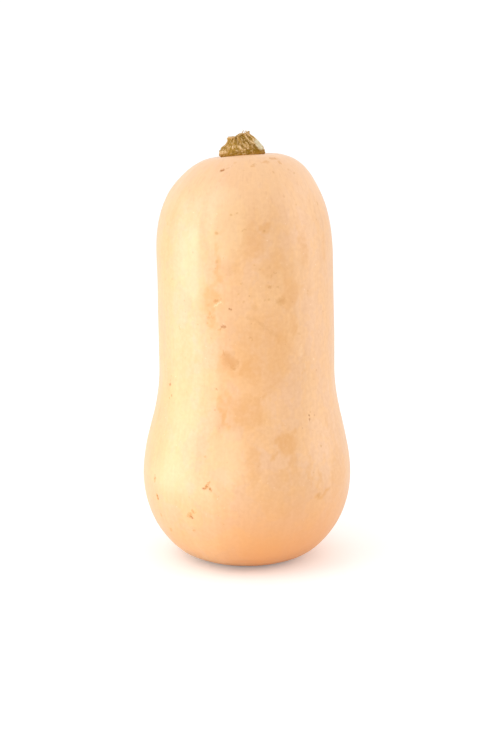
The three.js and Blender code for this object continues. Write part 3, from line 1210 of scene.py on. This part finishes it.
    def build(self) -> bpy.types.Object:
        """Make the fruit's mesh: outline by turns, grown, with its relief along the normals.

        Returns:
            The fruit's object.
        """
        outline = self.outline()
        turn = turns_round(self.sides)[None, :]
        radius = outline[:, :1]
        height = outline[:, 1:]
        level = np.broadcast_to(height, (len(outline), self.sides))
        main = self.grow(radius, turn, height)
        along = arc_length(outline)[:, None] + 0.0 * turn
        unrolled = np.stack([
            self.neck_radius * np.cos(turn) + 0.0 * along,
            self.neck_radius * np.sin(turn) + 0.0 * along,
            along,
        ], axis=-1)
        row = np.arange(len(outline))[:, None]
        crest_row = int(np.argmax(outline[:, 1]))
        carved = smooth(self.relief_start, self.relief_full, level) * (row < crest_row)
        crest = self.crest_height
        carved = carved * (1.0 - smooth(crest - self.crest_fade, crest - self.crest_bare, level))
        relief = self.relief(main, unrolled) * carved
        grid = main + relief[..., None] * surface_normals(main)
        return closed_piece("fruit", grid, {"meridian": unrolled, "stain_and_shade": self.stain_and_shade(main)})

    def dress(self, piece: bpy.types.Object, effects: Effects) -> list[bpy.types.Object]:
        """Give the fruit its rind and its place in the frame.

        Args:
            piece: the fruit's mesh object.
            effects: the shared node groups.

        Returns:
            The finished pieces.
        """
        marks = [(item, self.spot(item)) for item in self.marks]
        piece.data.materials.append(RindFinish().material(effects, marks))
        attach(piece, "root")
        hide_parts("squash_fruit")
        return [piece]


# The stem


@dataclass(frozen=True)
class Welt:
    """A raised line or lump of pale cork on the stalk.

    Attributes:
        path: its points, each as degrees round from the front and height above the seat in mm.
        width: in metres.
        rise: how far it stands proud, in metres.
        pale: 0 to 1, how far the cork has bleached; below 0, how far it is darker, as dark cork and
            painted shade.
        spread: standard deviation of its profile, as a share of the width.
    """

    path: tuple[tuple[float, float], ...]
    width: float
    rise: float
    pale: float
    spread: float = 0.42

    def mask(self, radius: np.ndarray, turn: np.ndarray, height: np.ndarray) -> np.ndarray:
        """Gaussian of the distance to the path on the stalk, unrolled from the path's far side.

        Args:
            radius: radius of the turned stalk at each point.
            turn: radians round from +X, anticlockwise.
            height: height above the seat.

        Returns:
            Numbers from 0 to 1.
        """
        turns = [facing(around) for around, _ in self.path]
        middle = np.mean(turns)
        away = apart(turn, middle)
        ends = [
            np.stack([radius * (away + middle - around), height - level * MM], axis=-1)
            for around, (_, level) in zip(turns, self.path)
        ]
        nearest = np.linalg.norm(ends[0], axis=-1)
        for start, end in zip(ends[:-1], ends[1:]):
            step = start - end
            share = np.sum(start * step, axis=-1) / np.maximum(np.sum(step * step, axis=-1), 1e-12)
            near = start - np.clip(share, 0.0, 1.0)[..., None] * step
            nearest = np.minimum(nearest, np.linalg.norm(near, axis=-1))
        return bell(nearest, self.spread * self.width)


def welt(width: float, rise: float, pale: float, path: tuple[tuple[float, float], ...]) -> Welt:
    """Make a welt from measures in millimetres."""
    return Welt(path, width * MM, rise * MM, pale)


# The welts of the front. Each row holds width, rise, paleness, and the points of the path.
PLACED_WELTS = (
    (0.85, 0.5, 1, ((36, 12.1), (36.5, 11.6), (38, 10.2), (35, 9), (40, 8), (45, 7.5), (48, 6.7))),
    (0.8, 0.2, 0.8, ((72, 11.6), (75, 10.2), (75, 9.3), (70, 8.5), (60, 7.9))),
    (1.3, 0.2, 0.4, ((-3, 12), (-5, 11.4), (-8, 10), (-9, 9))),
    (0.7, 0.15, 0.4, ((-20, 12), (-23, 11), (-27, 9.6), (-28, 8.4))),
    (0.8, 0.05, 0.42, ((-37, 12), (-41, 10.6), (-48, 9))), (0.8, 0, 0.45, ((-62, 9.8), (-66, 8.2))),
    (0.6, 0.25, 0.5, ((12, 11), (12, 9.9), (10, 8.3))), (1.4, 0.5, 0.75, ((-6.5, 7.2), (-3, 6.9))),
    (1.1, 0.5, 0.9, ((0, 6.4), (2, 6.1))), (0.9, 0.45, 1, ((12, 7.5), (13, 6.6))),
    (0.8, 0.35, 0.55, ((21, 7.9), (23, 6.7), (20, 6.2))), (0.8, 0.35, 0.6, ((10, 8.5), (9, 8))),
    (0.8, 0.35, 0.7, ((16, 6.4), (17, 5.6))), (0.9, 0.35, 0.7, ((7, 5.5), (8, 5))),
    (0.9, 0.35, 0.85, ((0.5, 4.6), (1, 4.2))), (1.1, 0.3, 0.7, ((-24, 7.5), (-26, 6.6))),
    (1.1, 0.4, 0.6, ((-35, 7.4), (-39, 6.8))), (1.4, 0.35, 0.9, ((-53, 5.2), (-50, 4.5))),
    (1.1, 0.1, 0.75, ((-65, 5.2), (-66, 4.4))), (1, 0.05, 0.6, ((-68, 6.8), (-66, 6))),
    (0.9, 0, 0.6, ((-82, 9), (-80, 8))), (0.9, 0.3, 0.55, ((-13, 5.2), (-12, 4.4))),
    (1, 0.35, 0.6, ((-40, 5.4), (-41, 4.5))), (0.8, 0.3, 0.6, ((-17, 7.8), (-18, 6.9))),
    (0.8, 0.3, 0.5, ((33, 6.6), (31, 5.7))), (0.9, 0.1, 0.55, ((-45, 8.2), (-47, 7.3))),
    # The rows with negative paleness are sunk dark strips between and under the ridges and low on
    # the right: partly dark cork, partly painted shade.
    (1.9, -0.15, -1, ((15, 11.8), (17, 10), (15, 8.8))),
    (2.4, -0.15, -1, ((24, 9.6), (28, 8.2), (35, 7), (42, 6.4))),
    (2.4, -0.1, -0.8, ((28, 5), (42, 4.8), (54, 4.4), (66, 3.8))),
    (0.8, -0.05, -0.4, ((-14, 11.4), (-17, 9.2))), (0.8, -0.2, -0.7, ((-31, 11.6), (-35, 9.6))),
    (0.9, -0.2, -0.7, ((55, 11.2), (58, 9.4), (54, 8.4))),
    (1.3, -0.05, -0.6, ((-22, 4.3), (0, 3.8), (24, 4.2))),
    (0.8, -0.15, -0.6, ((-48, 7.4), (-56, 6.6), (-60, 5.8))),
    (1.6, 0.1, 0.75, ((60, 12), (68, 11.6))),
    (0.9, 0.05, 0.9, ((-84, 12.3), (-62, 12.5), (-34, 12.4))),
    (0.7, 0, 0.75, ((-30, 12.5), (-12, 12.4))), (0.7, 0, 0.7, ((-4, 12.5), (14, 12.5), (30, 12.4))),
    (1.4, 0, 0.45, ((80, 9.2), (92, 8.9), (104, 8.8))),
    (1.6, 0.1, 0.8, ((-58, 4.6), (-70, 4), (-82, 4.2))),
)


def placed_welts() -> tuple[Welt, ...]:
    """The welts of the front."""
    return tuple(welt(*row) for row in PLACED_WELTS)


def scattered_welts(seed: int, count: int) -> tuple[Welt, ...]:
    """Draw upright welts for the sides and back of the stalk.

    Args:
        seed: seed of the draw.
        count: how many welts.

    Returns:
        The welts, none of them within 95 degrees of the front.
    """
    draw = np.random.default_rng(seed)
    welts = []
    for _ in range(count):
        around = draw.uniform(95.0, 265.0)
        top = draw.uniform(4.8, 11.8)
        drop = draw.uniform(0.4, 1.0) if top < 8.5 else draw.uniform(1.2, 2.8)
        path = ((around, top), (around + draw.normal(0.0, 4.0), top - drop))
        width, rise = draw.uniform(0.7, 1.3), draw.uniform(0.05, 0.25)
        welts.append(welt(width, rise, draw.uniform(0.4, 0.95), path))
    return tuple(welts)


@dataclass(frozen=True)
class Fibre:
    """A torn fibre that stands up from the cut.

    Attributes:
        knots: its root, bend and tip in the stub's own frame, in millimetres.
        thick: radius at the root, in metres.
        taper: share of that radius lost at the tip.
    """

    knots: tuple[tuple[float, float, float], ...]
    thick: float
    taper: float

    def grid(self, spans: int = 14, sides: int = 12) -> np.ndarray:
        """Circles that shrink along the quadratic Bezier curve of the knots, with both poles.

        Args:
            spans: steps along the curve.
            sides: steps round it.

        Returns:
            Positions, rows by turns by x, y and z.
        """
        root, bend, tip = (np.array(knot) * MM for knot in self.knots)
        t = np.linspace(0.0, 1.0, spans + 1)[:, None]
        path = (1 - t) ** 2 * root + 2 * t * (1 - t) * bend + t**2 * tip
        along = (tip - root) / np.linalg.norm(tip - root)
        across = np.cross((0.0, 1.0, 0.0), along)
        across = across / np.linalg.norm(across)
        third = np.cross(along, across)
        turn = turns_round(sides)[:, None]
        circle = np.cos(turn) * across + np.sin(turn) * third
        radius = self.thick * (1.0 - self.taper * t)
        rings = path[:, None, :] + radius[:, :, None] * circle
        poles = [np.broadcast_to(path[row], (1, sides, 3)) for row in (0, -1)]
        return np.concatenate([poles[0], rings, poles[1]])


FIBRES = (
    Fibre(((2.1, -2.9, 12.0), (2.1, -3.0, 13.8), (0.9, -2.8, 15.1)), 0.24 * MM, 0.8),
    Fibre(((-5.0, -1.6, 10.6), (-5.9, -1.5, 11.4), (-6.7, -1.3, 11.9)), 0.6 * MM, 0.45),
    Fibre(((2.9, -1.8, 12.4), (2.9, -1.7, 13.6), (2.5, -1.6, 14.4)), 0.6 * MM, 0.5),
    Fibre(((-0.6, -4.2, 12.0), (-0.9, -4.4, 13.2), (-0.5, -4.3, 13.6)), 0.3 * MM, 0.7),
    Fibre(((0.4, 4.2, 12.2), (0.5, 4.6, 13.6), (1.2, 4.9, 14.2)), 0.35 * MM, 0.75),
)


@dataclass
class StemStub:
    """The stub of the stalk, square on its tilted seat. Heights are above the seat."""

    fruit: Fruit
    gap: float = 0.3 * MM
    foot_radius: float = 9.2 * MM
    foot_handle: float = 1.8 * MM
    flange_radius: float = 11.7 * MM
    flange_height: float = 3 * MM
    flange_handle: float = 3.2 * MM
    collar_radius: float = 5.4 * MM
    collar_height: float = 11.2 * MM
    collar_flare: float = 1.9 * MM
    collar_handle: float = 2.8 * MM
    neck_in: float = 0.1 * MM
    lip_radius: float = 5.5 * MM
    lip_height: float = 12.5 * MM
    lip_bevel: float = 0.3 * MM
    lip_handle: float = 0.6 * MM
    rim_width: float = 0.7 * MM
    pith_inset: float = 2.1 * MM
    cut_hollow: float = 1.2 * MM
    cut_slope: float = 0.22
    rim_wave: float = 0.35 * MM
    lean: float = -1.5 * MM
    ridges: int = 5
    ridge_at_foot: float = 0.03
    ridge_at_cut: float = 0.1
    ridge_turn_at_foot: float = -32
    ridge_turn_at_cut: float = -67
    warts: int = 46
    wart_height: float = 0.36 * MM
    wart_size: float = 1.1 * MM
    wart_drop: float = 0.6 * MM
    wart_span: float = 7.6 * MM
    golden_turn: float = 137.508
    golden_share: float = 0.618034
    stray_pitch: float = 1.6 * MM
    stray_around: float = 0.045
    stray_upward: float = 0.5 * MM
    side_start: float = 1.3 * MM
    side_inset: float = 3 * MM
    slant_start: float = 5 * MM
    rim_run_in: float = 1 * MM
    foot_dark: float = 2.4 * MM
    foot_end: float = 4.4 * MM
    peel_cover: float = 0.9
    mask_rise: tuple[float, float] = (0.1, 0.75)
    crumb_height: float = 0.13 * MM
    crumb_pitch: float = 1.1 * MM
    strand_height: float = 0.1 * MM
    strand_pitch: float = 0.9 * MM
    strand_squash: float = 0.15
    weathered_start: float = 1.5 * MM
    weathered_full: float = 2.6 * MM
    sides: int = 480
    welts: tuple[Welt, ...] = placed_welts() + scattered_welts(seed=29, count=44)
    peel: Welt = welt(3.1, 0.1, 1.0, ((56, 6.2), (74, 6.5), (98, 7.2)))
    fibres: tuple[Fibre, ...] = FIBRES

    def outline(self) -> np.ndarray:
        """Trace the turned form from the middle of the foot, up the flare, to the pith of the cut.

        Returns:
            Points as rows of radius and height.
        """
        foot = (self.foot_radius, self.gap)
        flange = (self.flange_radius, self.flange_height)
        collar = (self.collar_radius, self.collar_height)
        lip = (self.lip_radius, self.lip_height - self.lip_bevel)
        rim = (self.lip_radius - self.rim_width, self.lip_height)
        pith_height = self.lip_height - self.cut_hollow
        pith = (self.lip_radius - self.pith_inset, pith_height)
        lift = (self.flange_radius, self.flange_height + self.flange_handle)
        land = (self.collar_radius + self.collar_flare, self.collar_height - self.collar_handle)
        throat = (self.collar_radius - self.neck_in, self.lip_height - self.lip_handle)
        return join(
            line((0.0, self.gap), foot, 8),
            bezier((foot, (self.flange_radius, self.foot_handle), flange), 14),
            bezier((flange, lift, land, collar), 68),
            bezier((collar, throat, lip), 9),
            line(lip, rim, 5),
            line(rim, pith, 12),
            line(pith, (0.0, pith_height), 12),
        )

    def wave(self, turn: np.ndarray, share: np.ndarray) -> np.ndarray:
        """+1 along each ridge and -1 in the grooves, by the size of a cosine of half the ridges."""
        phase = self.ridge_turn_at_foot + (self.ridge_turn_at_cut - self.ridge_turn_at_foot) * share
        return 2.0 * np.abs(np.cos(self.ridges / 2 * (turn - np.radians(phase)))) - 1.0

    def wart_bells(self, radius: np.ndarray, turn: np.ndarray, height: np.ndarray) -> np.ndarray:
        """Corky warts: Gaussian bells spread up the flare by the golden angle, the highest kept.

        Args:
            radius: radius of the turned stalk at each point.
            turn: radians round from +X, anticlockwise.
            height: height above the seat.

        Returns:
            Numbers from 0 to 1.
        """
        relief = np.zeros(np.broadcast(radius, turn).shape)
        first = self.flange_height - self.wart_drop
        for k in range(self.warts):
            centre = math.radians(k * self.golden_turn)
            level = first + self.wart_span * ((k + 0.5) / self.warts)
            size = self.wart_size * (0.7 + 0.6 * ((k * self.golden_share) % 1))
            around = radius * apart(turn, centre)
            near = (around**2 + (height - level) ** 2) / size**2
            relief = np.maximum(relief, np.exp(-2.0 * near))
        return relief

    def build(self) -> bpy.types.Object:
        """Make the stub's mesh and the masks that its cork reads.

        The turned outline gains ridges and warts in its radius, leans and slants towards the cut,
        and takes fine crumbling and fibres along its normals. It is then turned on to its seat.

        Returns:
            The stub's object.
        """
        outline = self.outline()
        turn = turns_round(self.sides)[None, :]
        radius = outline[:, :1] + 0.0 * turn
        height = outline[:, 1:] + 0.0 * turn
        turns = turn + 0.0 * radius
        share = smooth(self.flange_height, self.collar_height, height)
        wave = self.wave(turns, share)
        ridge = self.ridge_at_foot + (self.ridge_at_cut - self.ridge_at_foot) * share
        side = smooth(self.side_start, self.flange_height, height)
        side = side * smooth(self.lip_radius - self.side_inset, self.collar_radius, radius)
        noise = LatticeNoise(seed=61)
        flat = np.stack([radius * np.cos(turns), radius * np.sin(turns), height], axis=-1)
        stray_turn = self.stray_around * noise.fractal(flat, self.stray_pitch, 2)
        stray_height = self.stray_upward * noise.fractal(flat + 0.1, self.stray_pitch, 2)
        strayed = (radius, turns + stray_turn, height + stray_height)
        warts = self.wart_bells(*strayed) * side
        masks = [(item, item.mask(*strayed) * side) for item in self.welts]
        patch = self.peel.mask(radius, turns + 0.5 * stray_turn, height)
        peel = self.peel_cover * smooth(*self.mask_rise, patch) * side
        raised = sum(item.rise * mask for item, mask in masks) * (1.0 - 0.8 * peel)
        pale = np.max([item.pale * mask for item, mask in masks], axis=0)
        # Darkening from the sunk dark strips: partly dark cork, partly painted shade.
        dark_cork_and_shade = np.max([-item.pale * mask for item, mask in masks], axis=0)
        grown = radius * (1.0 + ridge * wave * side) + self.wart_height * warts * (1.0 - peel)
        grown = grown + raised + self.peel.rise * peel
        x = grown * np.cos(turns)
        start = self.slant_start
        slant = np.clip((height - start) / (self.collar_height - start), 0.0, 1.0)
        cut = smooth(self.collar_height - self.rim_run_in, self.lip_height, height)
        rim = self.rim_wave * wave * side * cut
        grid = np.stack([
            x + self.lean * slant,
            grown * np.sin(turns),
            height + self.cut_slope * x * slant + rim,
        ], axis=-1)
        along = arc_length(outline)[:, None] + 0.0 * turn
        unrolled = np.stack([
            self.flange_radius * np.cos(turns), self.flange_radius * np.sin(turns), along,
        ], axis=-1)
        grid = grid + self.weathering(grid, unrolled, height)[..., None] * surface_normals(grid)
        row = np.arange(len(outline))[:, None] + 0.0 * turn
        rim_row = int(np.argmax(outline[:, 1]))
        data = {
            "meridian": unrolled,
            "groove": np.clip(np.maximum(dark_cork_and_shade, -wave * share * side), 0.0, 1.0),
            "wart": np.maximum(smooth(*self.mask_rise, pale), 0.45 * smooth(0.3, 0.8, warts)),
            "foot": 1.0 - smooth(self.foot_dark, self.foot_end, height),
            "peeled": peel,
            "pith": smooth(rim_row - 3.0, rim_row + 2.0, row),
        }
        return closed_piece("stem", self.seat(grid), data)

    def fray(self) -> list[bpy.types.Object]:
        """Make the torn fibres, each its own closed mesh of pale cork.

        Returns:
            The fibres' objects.
        """
        pieces = []
        for number, fibre in enumerate(self.fibres, start=1):
            grid = self.seat(fibre.grid())
            data = {"wart": np.full(grid.shape[:2], 0.8), "meridian": grid}
            pieces.append(closed_piece(f"stem_fibre_{number}", grid, data))
        return pieces

    def weathering(self, grid: np.ndarray, unrolled: np.ndarray, height: np.ndarray) -> np.ndarray:
        """Fine height of the cork: crumbs everywhere and strands drawn out up the stalk.

        Args:
            grid: positions of the stub.
            unrolled: unrolled coordinates of the same points.
            height: their heights above the seat before the stub leans.

        Returns:
            Heights in metres.
        """
        noise = LatticeNoise(seed=17)
        crumbs = self.crumb_height * noise.fractal(grid, self.crumb_pitch, 3)
        drawn_out = unrolled * (1.0, 1.0, self.strand_squash)
        strands = self.strand_height * noise.fractal(drawn_out, self.strand_pitch, 2)
        return (crumbs + strands) * smooth(self.weathered_start, self.weathered_full, height)

    def seat(self, grid: np.ndarray) -> np.ndarray:
        """Turn points by the crown's tilt and lift them on to the seat.

        Args:
            grid: positions in the stub's own frame.

        Returns:
            Positions in the frame of the fruit.
        """
        tilt = Matrix.Rotation(-math.radians(self.fruit.crown_tilt), 3, "Y")
        centre = np.array([
            self.fruit.neck_lean + self.fruit.crown_shift,
            0.0,
            self.fruit.crest_height - self.fruit.seat_depth,
        ])
        return grid @ np.array(tilt).T + centre

    def dress(self, piece: bpy.types.Object, effects: Effects) -> list[bpy.types.Object]:
        """Give the stub and its torn fibres their cork and their place in the frame.

        Args:
            piece: the stub's mesh object.
            effects: the shared node groups.

        Returns:
            The finished pieces.
        """
        cork = CorkFinish().material(effects)
        parts = [piece, *self.fray()]
        for part in parts:
            part.data.materials.append(cork)
            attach(part, "root")
        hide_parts("stem_stub")
        return parts


# The studio


@dataclass(frozen=True)
class SoftBox:
    """A flat lamp that faces a point of the fruit.

    Attributes:
        name: name of the lamp.
        around: degrees round from the front, towards +X.
        distance: from the fruit's axis, in metres.
        height: of the lamp's centre, in metres.
        width: in metres.
        tall: in metres.
        power: in watts.
        gloss_only: whether it is seen in the gloss alone.
        upward: whether it lies flat and faces up.
        aim: height of the point that it faces, in metres.
    """

    name: str
    around: float
    distance: float
    height: float
    width: float
    tall: float
    power: float
    gloss_only: bool = False
    upward: bool = False
    aim: float = 0.11

    def build(self) -> None:
        """Add the lamp."""
        lamp = bpy.data.lights.new(self.name, "AREA")
        lamp.shape = "RECTANGLE"
        lamp.size = self.width
        lamp.size_y = self.tall
        lamp.energy = self.power
        holder = added(self.name, lamp)
        turn = facing(self.around)
        place = Vector((math.cos(turn), math.sin(turn), 0.0)) * self.distance
        place.z = self.height
        holder.location = place
        ahead = Vector((0.0, 0.0, self.aim)) - place
        holder.rotation_euler = ahead.to_track_quat("-Z", "Y").to_euler()
        if self.upward:
            holder.rotation_euler = (math.pi, 0.0, turn + math.pi / 2)
        holder.visible_camera = False
        holder.visible_diffuse = not self.gloss_only


@dataclass
class Studio:
    """A white table top and backdrop, soft lamps and the camera."""

    distance: float = 0.760
    camera_height: float = 0.2528
    camera_aside: float = 0.001
    look_down: float = 11.5
    lens: float = 70.0
    sensor: float = 36.0
    floor_half: float = 4.0
    floor_white: float = 0.92
    floor_rough: float = 0.9
    floor_lift: float = 0.17
    front_light: float = 0.86
    back_light: float = 1.06
    lamps: tuple[SoftBox, ...] = (
        SoftBox("key", -61.0, 0.70, 0.55, 0.60, 0.90, 2.26),
        SoftBox("sheen", -80.0, 0.60, 0.13, 0.40, 0.78, 2.5, gloss_only=True),
        SoftBox("glow", -75.0, 0.36, 0.004, 0.44, 0.30, 0.9, upward=True),
        SoftBox("low glow", -48.0, 0.16, 0.03, 0.24, 0.05, 0.058),
        SoftBox("fill", 87.0, 0.80, 0.30, 0.60, 0.70, 1.88),
    )

    def build(self) -> None:
        """Add the floor, the lamps, the surrounding light and the camera."""
        self.floor()
        for lamp in self.lamps:
            lamp.build()
        self.surround()
        self.camera()
        bpy.context.scene.view_settings.view_transform = "Standard"

    def floor(self) -> None:
        """Lay the pale floor."""
        half = self.floor_half
        mesh = bpy.data.meshes.new("floor")
        corners = [(-half, -half, 0.0), (half, -half, 0.0), (half, half, 0.0), (-half, half, 0.0)]
        mesh.from_pydata(corners, [], [(0, 1, 2, 3)])
        floor = added("floor", mesh)
        material = bpy.data.materials.new("floor")
        material.use_nodes = True
        shader = material.node_tree.nodes["Principled BSDF"]
        shader.inputs["Base Color"].default_value = (self.floor_white,) * 3 + (1.0,)
        shader.inputs["Roughness"].default_value = self.floor_rough
        shader.inputs["Specular IOR Level"].default_value = 0.0
        shader.inputs["Emission Color"].default_value = (1.0, 1.0, 1.0, 1.0)
        w = Wiring(material.node_tree)
        seen = w.node("LightPath").outputs["Is Camera Ray"]
        w.feed(shader.inputs["Emission Strength"], w.math("MULTIPLY", seen, self.floor_lift))
        mesh.materials.append(material)

    def surround(self) -> None:
        """Light from all round, a little dimmer from the front, with a white backdrop in view."""
        world = bpy.data.worlds.new("white")
        world.use_nodes = True
        bpy.context.scene.world = world
        w = Wiring(world.node_tree)
        sky = w.tree.nodes["Background"]
        direction = w.node("TexCoord").outputs["Generated"]
        depth = w.node("SeparateXYZ", {0: direction}).outputs["Y"]
        level = w.node("MapRange", {"Value": depth, "From Min": -1.0, "From Max": 1.0,
                                    "To Min": self.front_light, "To Max": self.back_light})
        seen = w.node("LightPath").outputs["Is Camera Ray"]
        strength = w.math("MAXIMUM", level.outputs[0], seen)
        sky.inputs["Color"].default_value = (1.0, 1.0, 1.0, 1.0)
        w.feed(sky.inputs["Strength"], strength)

    def camera(self) -> None:
        """Set up the camera, upright frame, level with the neck and looking slightly down."""
        lens = bpy.data.cameras.new("camera")
        lens.sensor_fit = "VERTICAL"
        lens.sensor_height = self.sensor
        lens.lens = self.lens
        holder = added("camera", lens)
        holder.location = (self.camera_aside, -self.distance, self.camera_height)
        holder.rotation_euler = (math.radians(90.0 - self.look_down), 0.0, 0.0)
        bpy.context.scene.camera = holder


def main() -> None:
    """Build the squash and its studio."""
    logging.basicConfig(level=logging.INFO, format="%(name)s: %(message)s")
    Studio().build()
    effects = Effects()
    fruit = Fruit()
    stem = StemStub(fruit)
    for piece, owner in ((fruit.build(), fruit), (stem.build(), stem)):
        for part in owner.dress(piece, effects):
            LOG.info("%s has %d faces", part.name, len(part.data.polygons))
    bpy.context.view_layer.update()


if __name__ == "__main__":
    main()
